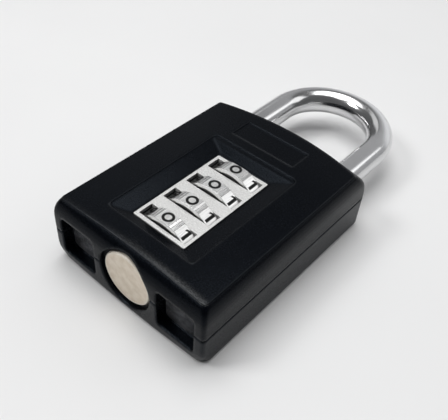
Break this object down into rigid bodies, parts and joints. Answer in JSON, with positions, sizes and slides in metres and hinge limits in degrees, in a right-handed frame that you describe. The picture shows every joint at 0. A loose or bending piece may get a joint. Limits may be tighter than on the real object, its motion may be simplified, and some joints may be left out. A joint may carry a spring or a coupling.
{
  "type": "combination padlock",
  "caption": "Dial combination padlock with a black plastic-covered body, silver dial plate, number dials on one axis and a round chrome shackle that lifts at the set code.",
  "frame": {"origin": "centre of the back face, on the surface the padlock lies on", "axes": "+Z out of the front face, +Y from the body towards the shackle, +X to the padlock's right"},
  "size_m": [0.05, 0.1036, 0.0204],
  "materials": {
    "black_plastic": "finely textured",
    "cast_zinc": "zinc die casting, as cast",
    "bright_steel": "bright",
    "satin_silver": "satin",
    "champagne_metal": "satin",
    "yellow_brass": "turned",
    "dial_chrome": "polished",
    "shackle_chrome": "polished"
  },
  "bodies": {
    "case": {"front_cover": "black_plastic", "back_cover": "black_plastic", "body_front": "cast_zinc", "body_back": "cast_zinc", "body_screws": "bright_steel", "cover_pins": "bright_steel", "dial_bezel": "satin_silver", "end_plug": "champagne_metal", "guide_bush": "yellow_brass", "detent_leaves": "bright_steel"},
    "shackle_set": {"shackle": "shackle_chrome", "cross_bar": "bright_steel", "spindle": "yellow_brass", "spindle_clip": "bright_steel"},
    "dial_set_1": {"dial_1": "dial_chrome", "code_sleeve_1": "yellow_brass"},
    "dial_set_2": {"dial_2": "dial_chrome", "code_sleeve_2": "yellow_brass"},
    "dial_set_3": {"dial_3": "dial_chrome", "code_sleeve_3": "yellow_brass"},
    "dial_set_4": {"dial_4": "dial_chrome", "code_sleeve_4": "yellow_brass"}
  },
  "joints": [
    {"name": "shackle_lift", "type": "slide", "parent": "case", "child": "shackle_set", "axis": [0, 1, 0], "range_m": [0, 0.00815]},
    {"name": "dial_1_turn", "type": "hinge", "parent": "case", "child": "dial_set_1", "pos_m": [0, -0.01906, 0.011], "axis": [0, 1, 0], "continuous": true},
    {"name": "dial_2_turn", "type": "hinge", "parent": "case", "child": "dial_set_2", "pos_m": [0, -0.01091, 0.011], "axis": [0, 1, 0], "continuous": true},
    {"name": "dial_3_turn", "type": "hinge", "parent": "case", "child": "dial_set_3", "pos_m": [0, -0.00277, 0.011], "axis": [0, 1, 0], "continuous": true},
    {"name": "dial_4_turn", "type": "hinge", "parent": "case", "child": "dial_set_4", "pos_m": [0, 0.00539, 0.011], "axis": [0, 1, 0], "continuous": true}
  ]
}
